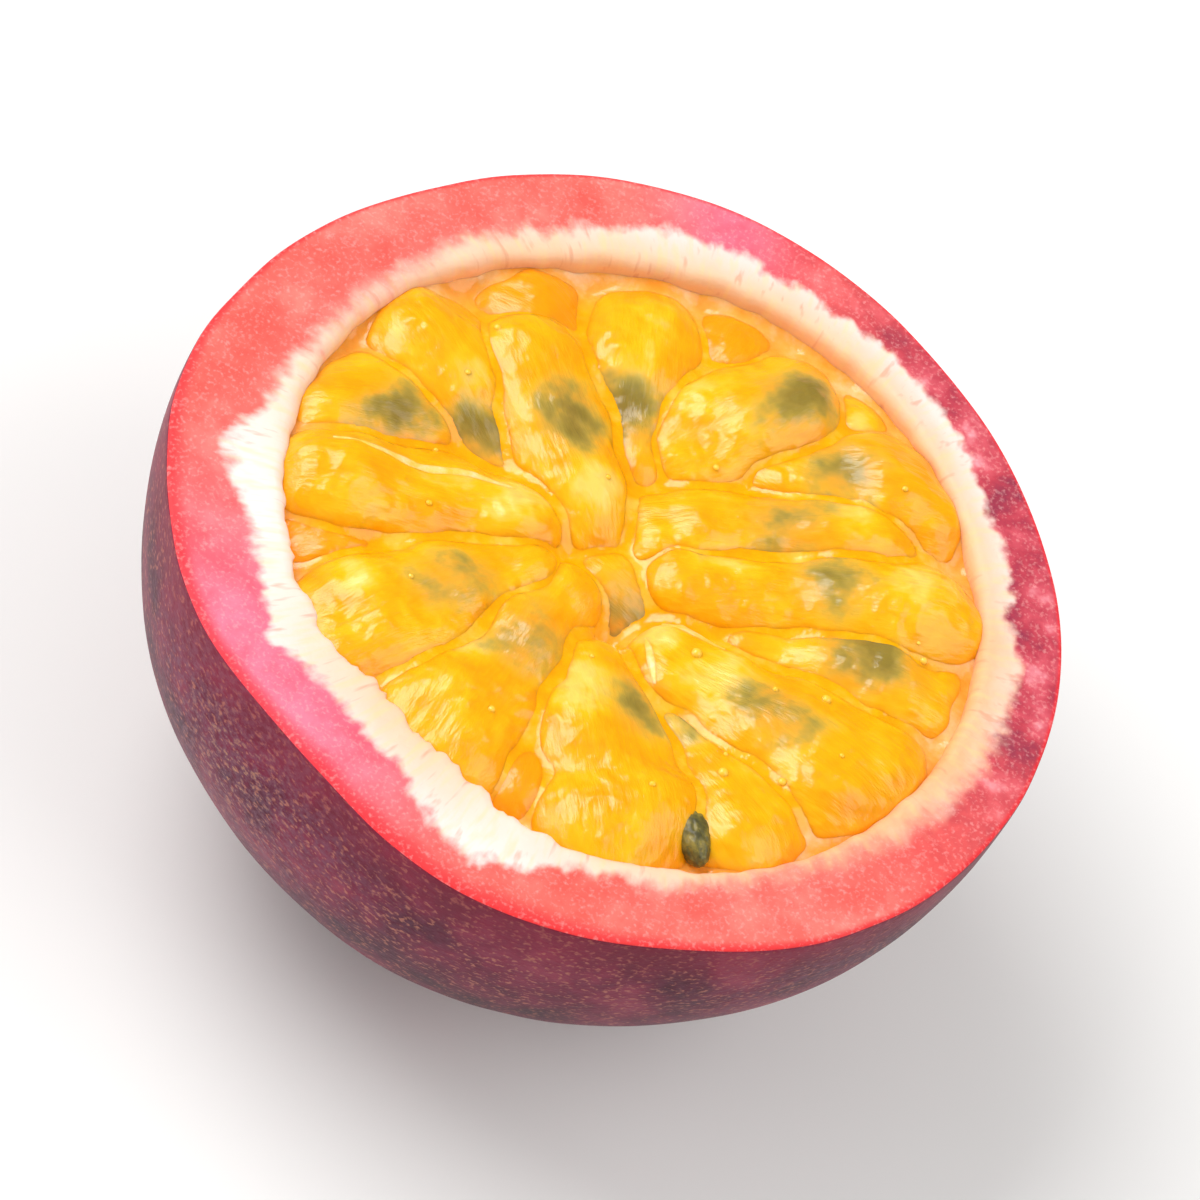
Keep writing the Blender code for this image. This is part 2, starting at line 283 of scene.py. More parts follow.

# Peel, as it grew: its thin wax gives a soft satin gloss. Under it lie mottled plum, a grey
# bloom in patches that is partly painted sheen of the bright room, tan flecks of cork drawn out
# towards the foot, and a redder band at the cut that is a painted glow of light through the rind.
skin, tree, shader = new_material("waxy passion fruit skin")
place = node(tree, "ShaderNodeTexCoord").outputs["Object"]
ring = node(tree, "ShaderNodeAttribute", attribute_name="ring").outputs["Vector"]
flecks_at = node(
    tree, "ShaderNodeVectorMath", {0: ring, 1: (AROUND, AROUND, 1.6)}, operation="MULTIPLY"
).outputs[0]
blotch = node(
    tree, "ShaderNodeTexNoise", {"Vector": place, "Scale": 150, "Detail": 4, "Roughness": 0.6}
)
base = node(
    tree,
    "ShaderNodeValToRGB",
    {"Fac": blotch.outputs["Fac"]},
    stops=((0.32, "#360A20"), (0.45, "#58102C"), (0.57, "#761B39"), (0.70, "#92344A")),
)
grain = node(
    tree, "ShaderNodeTexNoise", {"Vector": flecks_at, "Scale": 1.5, "Detail": 3, "Roughness": 0.7}
)
bloom_and_sheen = node(
    tree,
    "ShaderNodeValToRGB",
    {"Fac": grain.outputs["Fac"]},
    stops=((0.40, "#000000"), (0.64, "#DDDDDD")),
)
# The grey of the wax bloom, which is partly painted sheen of the bright room.
bloom_and_sheen_here = node(tree, "ShaderNodeAttribute", attribute_name="bloom_and_sheen").outputs["Fac"]
bloom_and_sheen = node(
    tree, "ShaderNodeMath", {0: bloom_and_sheen.outputs["Color"], 1: bloom_and_sheen_here}, operation="MULTIPLY"
)
mottled = node(
    tree,
    "ShaderNodeMix",
    {0: bloom_and_sheen.outputs[0], 6: base.outputs["Color"], 7: colour("#745066")},
    data_type="RGBA",
)
fleck = node(
    tree, "ShaderNodeTexNoise", {"Vector": flecks_at, "Scale": 2.2, "Detail": 2, "Roughness": 0.5}
)
fleck_share = node(
    tree,
    "ShaderNodeValToRGB",
    {"Fac": fleck.outputs["Fac"]},
    stops=((0.55, "#000000"), (0.70, "#DDDDDD")),
)
flecked = node(
    tree,
    "ShaderNodeMix",
    {0: fleck_share.outputs["Color"], 6: mottled.outputs[2], 7: colour("#B87460")},
    data_type="RGBA",
)
cork_here = node(tree, "ShaderNodeAttribute", attribute_name="cork").outputs["Fac"]
cork_share = node(
    tree, "ShaderNodeMapRange", {"Value": grain.outputs["Fac"], "From Min": 0.56, "From Max": 0.66}
)
cork_share = node(
    tree, "ShaderNodeMath", {0: cork_here, 1: cork_share.outputs[0]}, operation="MULTIPLY"
)
flecked = node(
    tree,
    "ShaderNodeMix",
    {0: cork_share.outputs[0], 6: flecked.outputs[2], 7: colour("#B07C5C")},
    data_type="RGBA",
)
skin_height = node(tree, "ShaderNodeSeparateXYZ", {0: ring}).outputs["Z"]
# Painted glow: the skin turns redder towards the cut, as if lit through the cut rind.
painted_rim_glow = node(
    tree,
    "ShaderNodeMapRange",
    {"Value": skin_height, "From Min": -6.0, "From Max": 0.0, "To Max": 0.55},
    interpolation_type="SMOOTHSTEP",
)
flecked = node(
    tree,
    "ShaderNodeMix",
    {0: painted_rim_glow.outputs[0], 6: flecked.outputs[2], 7: colour("#8A2238")},
    data_type="RGBA",
)
tree.links.new(flecked.outputs[2], shader.inputs["Base Color"])
shader.inputs["Roughness"].default_value = 0.46
shader.inputs["IOR"].default_value = 1.36
shader.inputs["Specular IOR Level"].default_value = 0.3
bumps = node(
    tree, "ShaderNodeBump", {"Height": fleck.outputs["Fac"], "Distance": 0.0001, "Strength": 0.35}
)
tree.links.new(bumps.outputs["Normal"], shader.inputs["Normal"])
wall.data.materials.append(skin)

# Plant flesh cut with a knife: damp, so half matt, and it glows a little. Coral to crimson
# under the skin and white pith inside, with an uneven line between them where the colour runs
# in fingers towards the middle.
flesh, tree, shader = new_material("cut rind and pith")
place = node(tree, "ShaderNodeTexCoord").outputs["Object"]
ring = node(tree, "ShaderNodeAttribute", attribute_name="ring").outputs["Vector"]
depth = node(tree, "ShaderNodeSeparateXYZ", {0: ring}).outputs["Z"]
lobes_at = node(
    tree, "ShaderNodeVectorMath", {0: ring, 1: (AROUND, AROUND, 0.9)}, operation="MULTIPLY"
)
lobes = node(
    tree, "ShaderNodeTexNoise", {"Vector": lobes_at.outputs[0], "Scale": 0.5, "Detail": 2}
)
fingers = node(
    tree,
    "ShaderNodeTexNoise",
    {"Vector": lobes_at.outputs[0], "Scale": 0.95, "Detail": 4, "Roughness": 0.5},
)
softness = node(tree, "ShaderNodeAttribute", attribute_name="soft").outputs["Fac"]
reach_in = node(tree, "ShaderNodeAttribute", attribute_name="rind_reach").outputs["Fac"]
uneven = node(
    tree,
    "ShaderNodeMath",
    {0: lobes.outputs["Fac"], 1: 2.4, 2: -1.2},
    operation="MULTIPLY_ADD",
)
uneven = node(
    tree,
    "ShaderNodeMath",
    {0: fingers.outputs["Fac"], 1: 1.4, 2: uneven.outputs[0]},
    operation="MULTIPLY_ADD",
)
uneven = node(tree, "ShaderNodeMath", {0: uneven.outputs[0], 1: 0.78}, operation="SUBTRACT")
past = node(tree, "ShaderNodeMath", {0: depth, 1: reach_in}, operation="SUBTRACT")
past = node(tree, "ShaderNodeMath", {0: past.outputs[0], 1: uneven.outputs[0]}, operation="ADD")
fade = node(
    tree, "ShaderNodeMath", {0: softness, 1: 1.1, 2: 0.5}, operation="MULTIPLY_ADD"
).outputs[0]
fade_from = node(tree, "ShaderNodeMath", {0: fade, 1: -1.0}, operation="MULTIPLY")
whiteness = node(
    tree,
    "ShaderNodeMapRange",
    {"Value": past.outputs[0], "From Min": fade_from.outputs[0], "From Max": fade},
    interpolation_type="SMOOTHSTEP",
)
tint = node(
    tree,
    "ShaderNodeTexNoise",
    {"Vector": place, "Scale": 260, "Detail": 4, "Roughness": 0.6},
)
coral = node(
    tree,
    "ShaderNodeValToRGB",
    {"Fac": tint.outputs["Fac"]},
    stops=((0.35, "#F75A50"), (0.52, "#FA6A60"), (0.68, "#FB8074")),
)
pink = node(
    tree,
    "ShaderNodeValToRGB",
    {"Fac": tint.outputs["Fac"]},
    stops=((0.35, "#F0607A"), (0.60, "#F87E98")),
)
crimson = node(
    tree,
    "ShaderNodeValToRGB",
    {"Fac": tint.outputs["Fac"]},
    stops=((0.34, "#8E2F49"), (0.48, "#BC3A4C"), (0.60, "#D65664"), (0.72, "#EFA0A8")),
)
blush_share = node(tree, "ShaderNodeAttribute", attribute_name="blush").outputs["Fac"]
crimson_share = node(tree, "ShaderNodeAttribute", attribute_name="crimson").outputs["Fac"]
rind_colour = node(
    tree,
    "ShaderNodeMix",
    {0: blush_share, 6: coral.outputs["Color"], 7: pink.outputs["Color"]},
    data_type="RGBA",
)
rind_colour = node(
    tree,
    "ShaderNodeMix",
    {0: crimson_share, 6: rind_colour.outputs[2], 7: crimson.outputs["Color"]},
    data_type="RGBA",
)
# Painted glow: a scarlet line along the outer edge of the cut, where light would shine through the
# rim.
scarlet_glow_share = node(tree, "ShaderNodeAttribute", attribute_name="scarlet_glow").outputs["Fac"]
scarlet_glow_depth = node(
    tree, "ShaderNodeMath", {0: scarlet_glow_share, 1: 1.2, 2: 0.5}, operation="MULTIPLY_ADD"
).outputs[0]
edge_glow_share = node(
    tree,
    "ShaderNodeMapRange",
    {"Value": depth, "From Min": scarlet_glow_depth, "From Max": 0.1, "To Max": 0.85},
    interpolation_type="SMOOTHSTEP",
)
rind_colour = node(
    tree,
    "ShaderNodeMix",
    {0: edge_glow_share.outputs[0], 6: rind_colour.outputs[2], 7: colour("#F0242E")},
    data_type="RGBA",
)
pith_depth = node(
    tree,
    "ShaderNodeMath",
    {0: tint.outputs["Fac"], 1: 1.6, 2: depth},
    operation="MULTIPLY_ADD",
)
pith_place = node(tree, "ShaderNodeMath", {0: pith_depth.outputs[0], 1: 16.0}, operation="DIVIDE")
pith_colour = node(
    tree,
    "ShaderNodeValToRGB",
    {"Fac": pith_place.outputs[0]},
    stops=(
        (0.28, "#F5DCD2"),
        (0.38, "#F4CEB4"),
        (0.47, "#F6C394"),
        (0.57, "#F9B574"),
        (0.68, "#FAA24E"),
        (0.84, "#F98E38"),
    ),
)
# Its cells show as a pale grain; real ones are finer, these are as coarse as will show.
cells = node(tree, "ShaderNodeTexNoise", {"Vector": place, "Scale": 3600, "Detail": 2})
cell_share = node(
    tree,
    "ShaderNodeMapRange",
    {"Value": cells.outputs["Fac"], "From Min": 0.52, "From Max": 0.75, "To Max": 0.3},
)
rind_colour = node(
    tree,
    "ShaderNodeMix",
    {0: cell_share.outputs[0], 6: rind_colour.outputs[2], 7: colour("#FFC4C0")},
    data_type="RGBA",
)
peach_share = node(tree, "ShaderNodeAttribute", attribute_name="peach").outputs["Fac"]
peach_share = node(
    tree, "ShaderNodeMath", {0: peach_share, 1: tint.outputs["Fac"]}, operation="MULTIPLY"
)
pith_colour = node(
    tree,
    "ShaderNodeMix",
    {0: peach_share.outputs[0], 6: pith_colour.outputs["Color"], 7: colour("#FBA765")},
    data_type="RGBA",
)
snow = node(tree, "ShaderNodeAttribute", attribute_name="snow").outputs["Fac"]
snow_share = node(
    tree, "ShaderNodeMapRange", {"Value": depth, "From Min": 8.0, "From Max": 6.0, "To Max": 0.85}
)
snow_share = node(
    tree, "ShaderNodeMath", {0: snow, 1: snow_share.outputs[0]}, operation="MULTIPLY"
)
pith_colour = node(
    tree,
    "ShaderNodeMix",
    {0: snow_share.outputs[0], 6: pith_colour.outputs[2], 7: colour("#FBEEE8")},
    data_type="RGBA",
)
# Sap vessels end in the pith as small pinkish-brown dashes, and juice stains it in streaks.
vessels_at = node(
    tree, "ShaderNodeVectorMath", {0: ring, 1: (AROUND, AROUND, 0.35)}, operation="MULTIPLY"
)
vessels = node(
    tree, "ShaderNodeTexNoise", {"Vector": vessels_at.outputs[0], "Scale": 1.4, "Detail": 2}
)
vessel_share = node(
    tree,
    "ShaderNodeMapRange",
    {"Value": vessels.outputs["Fac"], "From Min": 0.62, "From Max": 0.74, "To Max": 0.5},
)
pith_colour = node(
    tree,
    "ShaderNodeMix",
    {0: vessel_share.outputs[0], 6: pith_colour.outputs[2], 7: colour("#DD9070")},
    data_type="RGBA",
)
stain_share = node(
    tree,
    "ShaderNodeMapRange",
    {"Value": vessels.outputs["Fac"], "From Min": 0.5, "From Max": 0.3, "To Max": 0.35},
)
pith_colour = node(
    tree,
    "ShaderNodeMix",
    {0: stain_share.outputs[0], 6: pith_colour.outputs[2], 7: colour("#F9D488")},
    data_type="RGBA",
)
cut_colour = node(
    tree,
    "ShaderNodeMix",
    {0: whiteness.outputs[0], 6: rind_colour.outputs[2], 7: pith_colour.outputs[2]},
    data_type="RGBA",
)
tree.links.new(cut_colour.outputs[2], shader.inputs["Base Color"])
shader.inputs["Roughness"].default_value = 0.55
shader.inputs["IOR"].default_value = 1.36
shader.inputs["Subsurface Weight"].default_value = 0.35
shader.subsurface_method = "BURLEY"
shader.inputs["Subsurface Radius"].default_value = (1.0, 0.45, 0.35)
shader.inputs["Subsurface Scale"].default_value = 1.2 * MM
pores = node(tree, "ShaderNodeTexNoise", {"Vector": place, "Scale": 1900, "Detail": 3})
bumps = node(
    tree, "ShaderNodeBump", {"Height": pores.outputs["Fac"], "Distance": 0.0002, "Strength": 0.25}
)
tree.links.new(bumps.outputs["Normal"], shader.inputs["Normal"])
wall.data.materials.append(flesh)

# The skin ends where the cut begins.
inner = np.array([
    min(along[corner] for corner in face.vertices) >= -0.05 * MM for face in wall.data.polygons
])
wall.data.polygons.foreach_set("material_index", inner.astype(np.int32))
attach(wall, "root")
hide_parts("rind", "pith")

# ---------------------------------------------------------------------------------------------
# The juice sacs: thin-skinned bags of yellow jelly, each round one dark seed. They are pressed
# flat against each other and swollen where the knife freed them. Each starts from its solid.
# Only their shapes are made here: their looks wait until the juice round them is known.

SACS = sorted(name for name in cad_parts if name.startswith("juice_sac"))
SWELL = 0.60 * MM
WALL_SWELL = 0.75 * MM
GROOVES = 0.05 * MM
LARGE_LUMPS = 0.55 * MM
SMALL_LUMPS = 0.10 * MM
# Pressing on its neighbours makes a sac a little longer and wider, but not higher.
PRESSED = (1.02, 1.07, 1.0)


def copy_of(name, source):
    """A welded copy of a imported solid, as a new piece."""
    deselect()
    made = bpy.data.objects.new(name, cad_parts[source].data.copy())
    bpy.context.scene.collection.objects.link(made)
    made.data.materials.clear()
    made.select_set(True)
    bpy.context.view_layer.objects.active = made
    bpy.ops.object.mode_set(mode="EDIT")
    bpy.ops.mesh.select_all(action="SELECT")
    bpy.ops.mesh.remove_doubles(threshold=0.02 * MM)
    bpy.ops.mesh.tris_convert_to_quads()
    bpy.ops.object.mode_set(mode="OBJECT")
    return made


def apply(piece, kind, **settings):
    """Gives a piece a modifier with these settings and applies it."""
    modifier = piece.modifiers.new(kind.lower(), kind)
    for name, value in settings.items():
        setattr(modifier, name, value)
    bpy.context.view_layer.objects.active = piece
    bpy.ops.object.modifier_apply(modifier=modifier.name)


def push_out(piece, distances):
    """Moves each vertex along its normal."""
    normals = np.empty(len(piece.data.vertices) * 3)
    piece.data.vertices.foreach_get("normal", normals)
    rows = positions(piece) + normals.reshape(-1, 3) * np.reshape(distances, (-1, 1))
    place_vertices(piece, rows)


sac_pieces = {}
for number, name in enumerate(SACS):
    sac = copy_of(name.replace("juice_sac", "jelly_sac"), name)
    apply(sac, "SUBSURF", levels=3, render_levels=3)
    sac.data.shade_smooth()
    rows = positions(sac)
    middle = rows.mean(axis=0)
    _, _, turned = np.linalg.svd(rows - middle, full_matrices=False)
    long_way = turned[0] * np.sign(turned[0] @ (*middle[:2], 0))
    side_way = np.cross((0, 0, 1), long_way)
    side_way /= np.linalg.norm(side_way)
    own_axes = np.c_[long_way, side_way, np.cross(long_way, side_way)]
    own = (rows - middle) @ own_axes * PRESSED
    rows = middle + own @ own_axes.T
    place_vertices(sac, rows)
    grooves = rough(own * (0.25, 1, 1) + number, 1.2 * MM, 7) * GROOVES
    lumps = rough(rows, 4.5 * MM, 8 + number) * LARGE_LUMPS
    lumps += rough(rows, 2.0 * MM, 9) * SMALL_LUMPS
    near_wall = smooth_step(11 * MM, 20 * MM, np.hypot(*(rows[:, :2] - AXIS - HOLLOW_SHIFT).T))
    push_out(sac, SWELL + WALL_SWELL * near_wall + grooves + lumps)
    point_values(sac, "fibre", own / MM * (0.35, 1.8, 1.8) + number * 3.7)
    sac_pieces[name] = (sac, own_axes)

# ---------------------------------------------------------------------------------------------
# The juice: orange, runny, and wetting everything. It fills the creases between the sacs and
# climbs the pith, so it is the smoothed union of bed, sacs and wall, sunk just under them.

JUICE_SINK = 0.14 * MM
JUICE_FILM = 0.45 * MM
JUICE_CLIMB = 3.6 * MM
BED_SWELL = 0.8 * MM
BED_SIDE = 6.6 * MM
BAND_HEIGHT = 7.4 * MM
BAND_MIDDLE = CUT_HEIGHT - 4.9 * MM
BAND_THICKNESS = 1.4 * MM
FIRST_VOXEL = 0.40 * MM
LAST_VOXEL = 0.36 * MM

juice = copy_of("juice_and_pulp", "pulp")
apply(juice, "SUBSURF", levels=2, render_levels=2, subdivision_type="SIMPLE")
push_out(juice, BED_SWELL)
rows = positions(juice)
out = np.hypot(*(rows[:, :2] - AXIS - HOLLOW_SHIFT).T) / hollow_radius
rows[:, 2] += JUICE_CLIMB * smooth_step(0.74, 0.97, out) * (rows[:, 2] > CUT_HEIGHT - BED_SIDE)
place_vertices(juice, rows)
parts = [juice]
for sac, _ in sac_pieces.values():
    twin = sac.copy()
    twin.data = sac.data.copy()
    bpy.context.scene.collection.objects.link(twin)
    parts.append(twin)
# A band of wall, so that the film runs up the pith as well.
deselect()
bpy.ops.mesh.primitive_cylinder_add(
    vertices=120, radius=hollow_radius, depth=BAND_HEIGHT, location=(0, 0, 0),
    end_fill_type="NOTHING",
)
band = bpy.context.object
rows = positions(band)
rows[:, 2] += BAND_MIDDLE
bearing = np.arctan2(rows[:, 1], rows[:, 0])
lean = np.sqrt(1 - ((MIDDLE_HEIGHT - rows[:, 2]) / hollow_depth) ** 2)
reach = hollow_radius * lean * (1 + lean * outline_wave(HOLLOW_WAVES, bearing))
rows[:, 0] = AXIS[0] + reach * np.cos(bearing) + HOLLOW_SHIFT[0] * lean
rows[:, 1] = AXIS[1] + reach * np.sin(bearing) + HOLLOW_SHIFT[1] * lean
place_vertices(band, rows)
apply(band, "SOLIDIFY", thickness=BAND_THICKNESS, offset=1.0)
parts.append(band)
deselect()
for part in parts:
    part.select_set(True)
bpy.context.view_layer.objects.active = juice
bpy.ops.object.join()
# Pushed out, merged and drawn back in, the surface keeps a rounded film in every crease.
apply(juice, "REMESH", mode="VOXEL", voxel_size=FIRST_VOXEL)
apply(juice, "SMOOTH", factor=0.5, iterations=4)
push_out(juice, JUICE_FILM)
apply(juice, "REMESH", mode="VOXEL", voxel_size=LAST_VOXEL)
apply(juice, "SMOOTH", factor=0.5, iterations=6)
push_out(juice, -JUICE_FILM - JUICE_SINK)
apply(juice, "SMOOTH", factor=0.5, iterations=10)
juice.data.shade_smooth()
juice.data.materials.clear()
rows = positions(juice)
out = np.hypot(*(rows[:, :2] - AXIS - HOLLOW_SHIFT).T) / hollow_radius
point_values(juice, "wall_near", smooth_step(0.84, 0.97, out))

# Juice that ran out of cut sacs: a smooth wet film that light enters, so that it shines, glows
# orange in the creases, and is thin and pale on the pith.
nectar, tree, shader = new_material("passion fruit juice")
place = node(tree, "ShaderNodeTexCoord").outputs["Object"]
swirl = node(
    tree, "ShaderNodeTexNoise", {"Vector": place, "Scale": 420, "Detail": 4, "Roughness": 0.6}
)
juice_colour = node(
    tree,
    "ShaderNodeValToRGB",
    {"Fac": swirl.outputs["Fac"]},
    stops=((0.35, "#FFA200"), (0.52, "#FFB000"), (0.68, "#FFC242")),
)
wall_near = node(tree, "ShaderNodeAttribute", attribute_name="wall_near").outputs["Fac"]
wall_juice = node(
    tree,
    "ShaderNodeValToRGB",
    {"Fac": swirl.outputs["Fac"]},
    stops=((0.35, "#FB9E2E"), (0.52, "#FDB04C"), (0.68, "#FDC684")),
)
juice_colour = node(
    tree,
    "ShaderNodeMix",
    {0: wall_near, 6: juice_colour.outputs["Color"], 7: wall_juice.outputs["Color"]},
    data_type="RGBA",
)
tree.links.new(juice_colour.outputs[2], shader.inputs["Base Color"])
shader.inputs["Roughness"].default_value = 0.2
shader.inputs["IOR"].default_value = 1.36
shader.inputs["Subsurface Weight"].default_value = 0.7
shader.subsurface_method = "BURLEY"
shader.inputs["Subsurface Radius"].default_value = (1.0, 0.5, 0.1)
shader.inputs["Subsurface Scale"].default_value = 0.5 * MM
shader.inputs["Coat Weight"].default_value = 0.6
shader.inputs["Coat Roughness"].default_value = 0.08
ripples = node(
    tree, "ShaderNodeBump", {"Height": swirl.outputs["Fac"], "Distance": 0.0005, "Strength": 0.3}
)
tree.links.new(ripples.outputs["Normal"], shader.inputs["Normal"])
tree.links.new(ripples.outputs["Normal"], shader.inputs["Coat Normal"])
juice.data.materials.append(nectar)
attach(juice, "root")
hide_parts("pulp")

# ---------------------------------------------------------------------------------------------
# The looks of the sacs: yellow gel with fine fibres in a thin wrinkled skin, with painted shade
# in amber where it is deep between its neighbours, a painted glow that makes it pale where light
# would come through, and olive over the seed inside.

# Each seed seen through jelly: bearing, reach, depth under the sac's top and strength, in
# degrees and millimetres.
SEEDS = {
    "juice_sac_03": ((224, 12.0, 1.0, 0.75),),
    "juice_sac_04": ((256, 10.0, 0.9, 0.85),),
    "juice_sac_06": ((299, 11.5, 1.0, 0.8),),
    "juice_sac_07": ((322, 13.5, 0.9, 0.75),),
    "juice_sac_08": ((339, 15.5, 1.0, 0.85),),
    "juice_sac_09": ((9, 18.5, 0.9, 1.0), (15, 15.5, 1.0, 0.5)),
    "juice_sac_10": ((26, 15.5, 1.1, 0.7),),
    "juice_sac_11": ((47, 13.5, 0.9, 0.8),),
    "juice_sac_12": ((54, 20.0, 0.9, 0.9),),
    "juice_sac_14": ((73, 20.0, 0.9, 0.95),),
    "juice_sac_16": ((106, 13.8, 0.9, 0.9),),
    "juice_sac_18": ((130, 11.5, 0.8, 1.0),),
    "juice_sac_19": ((156, 13.5, 1.0, 0.9),),
    "juice_sac_20": ((172, 17.8, 0.9, 0.95),),
    "juice_sac_21": ((335, 3.2, 0.9, 0.85),),
}
SEED_HALVES = np.array((2.8, 1.9, 1.6)) * MM
# A height above the whole fruit, from which spots on it are looked up.
OVER_ALL = 0.05
# Patches of painted glow, paler where light would come through the gel: bearing, reach, size
# and strength, in degrees and millimetres.
GLOW_PATCHES = (
    (123, 6.0, 2.4, 1.0), (27, 21.5, 3.2, 0.9), (281, 11.0, 3.0, 0.9), (174, 8.5, 3.6, 0.8),
    (335, 10.5, 3.0, 0.8), (316, 13.0, 2.4, 0.9), (108, 16.5, 2.2, 0.7), (332, 6.0, 1.8, 0.9),
    (220, 19.0, 1.8, 0.7), (245, 13.5, 2.0, 0.8), (92, 15.5, 1.8, 0.5), (45, 18.5, 2.4, 0.8),
    (63, 23.0, 1.6, 0.8), (151, 15.0, 2.0, 0.5), (4, 13.5, 2.0, 0.5), (36, 9.0, 2.0, 0.5),
)
# Sacs that lie so deep that they are painted amber all over, as painted shade.
DEEP_SHADED_SACS = ("juice_sac_02", "juice_sac_05", "juice_sac_15", "juice_sac_17")

# Gel under a wet membrane: a clear gloss over wrinkles about a millimetre apart, and light that
# goes a little way in and comes out yellower. The fibres run along each sac.
jelly, tree, shader = new_material("passion fruit jelly")
place = node(tree, "ShaderNodeTexCoord").outputs["Object"]
fibre_at = node(tree, "ShaderNodeAttribute", attribute_name="fibre").outputs["Vector"]
cloud = node(
    tree, "ShaderNodeTexNoise", {"Vector": place, "Scale": 330, "Detail": 3, "Roughness": 0.55}
)
fibres = node(
    tree,
    "ShaderNodeTexNoise",
    {"Vector": fibre_at, "Scale": 1.0, "Detail": 4, "Roughness": 0.6},
)
mixed = node(
    tree, "ShaderNodeMath", {0: fibres.outputs["Fac"], 1: 0.28}, operation="MULTIPLY"
)
mixed = node(
    tree,
    "ShaderNodeMath",
    {0: cloud.outputs["Fac"], 1: 0.72, 2: mixed.outputs[0]},
    operation="MULTIPLY_ADD",
)
# Painted glow: the gel is paler in the listed patches, where light would come through it.
painted_glow_share = node(tree, "ShaderNodeAttribute", attribute_name="painted_glow").outputs["Fac"]
tone_and_glow = node(
    tree, "ShaderNodeMath", {0: painted_glow_share, 1: 0.24, 2: mixed.outputs[0]}, operation="MULTIPLY_ADD"
)
gold = node(
    tree,
    "ShaderNodeValToRGB",
    {"Fac": tone_and_glow.outputs[0]},
    stops=((0.36, "#FFA200"), (0.50, "#FFB000"), (0.62, "#FFBD0E"), (0.78, "#FFD260")),
)
# Painted shade: amber where the sac dips under the juice and deep down in the fruit.
painted_shade_share = node(tree, "ShaderNodeAttribute", attribute_name="low").outputs["Fac"]
amber_shade = node(
    tree,
    "ShaderNodeMix",
    {0: painted_shade_share, 6: gold.outputs["Color"], 7: colour("#FF9600")},
    data_type="RGBA",
)
seed_near = node(tree, "ShaderNodeAttribute", attribute_name="seed").outputs["Fac"]
seed_edge = node(
    tree,
    "ShaderNodeMath",
    {0: cloud.outputs["Fac"], 1: 1.5, 2: -0.75},
    operation="MULTIPLY_ADD",
)
seed_sum = node(tree, "ShaderNodeMath", {0: seed_near, 1: seed_edge.outputs[0]}, operation="ADD")
seed_share = node(
    tree,
    "ShaderNodeMapRange",
    {"Value": seed_sum.outputs[0], "From Min": 0.08, "From Max": 0.80, "To Max": 0.85},
    interpolation_type="SMOOTHSTEP",
)
seed_colour = node(
    tree,
    "ShaderNodeValToRGB",
    {"Fac": seed_sum.outputs[0]},
    stops=((0.16, "#EAB83C"), (0.42, "#C8A648"), (0.70, "#968A42"), (0.92, "#6E6A34")),
)
jelly_colour = node(
    tree,
    "ShaderNodeMix",
    {0: seed_share.outputs[0], 6: amber_shade.outputs[2], 7: seed_colour.outputs["Color"]},
    data_type="RGBA",
)
tree.links.new(jelly_colour.outputs[2], shader.inputs["Base Color"])
shader.inputs["Roughness"].default_value = 0.3
shader.inputs["IOR"].default_value = 1.38
shader.inputs["Subsurface Weight"].default_value = 0.85
shader.subsurface_method = "BURLEY"
shader.inputs["Subsurface Radius"].default_value = (1.0, 0.8, 0.2)
shader.inputs["Subsurface Scale"].default_value = 0.5 * MM
shader.inputs["Coat Weight"].default_value = 0.6
shader.inputs["Coat Roughness"].default_value = 0.08
wrinkles = node(
    tree,
    "ShaderNodeTexNoise",
    {"Vector": place, "Scale": 720, "Detail": 3, "Roughness": 0.55},
    noise_type="RIDGED_MULTIFRACTAL",
)
folds = node(
    tree,
    "ShaderNodeBump",
    {"Height": wrinkles.outputs["Fac"], "Distance": 0.0004, "Strength": 0.62},
)
fine = node(
    tree,
    "ShaderNodeBump",
    {
        "Height": fibres.outputs["Fac"],
        "Distance": 0.0005,
        "Strength": 0.3,
        "Normal": folds.outputs["Normal"],
    },
)
tree.links.new(fine.outputs["Normal"], shader.inputs["Normal"])
tree.links.new(fine.outputs["Normal"], shader.inputs["Coat Normal"])


def polar_place(bearing_degrees, reach_mm):
    """The x and y of a spot given by its bearing and its distance from the axis."""
    angle = math.radians(bearing_degrees)
    return AXIS + reach_mm * MM * np.array((math.cos(angle), math.sin(angle)))


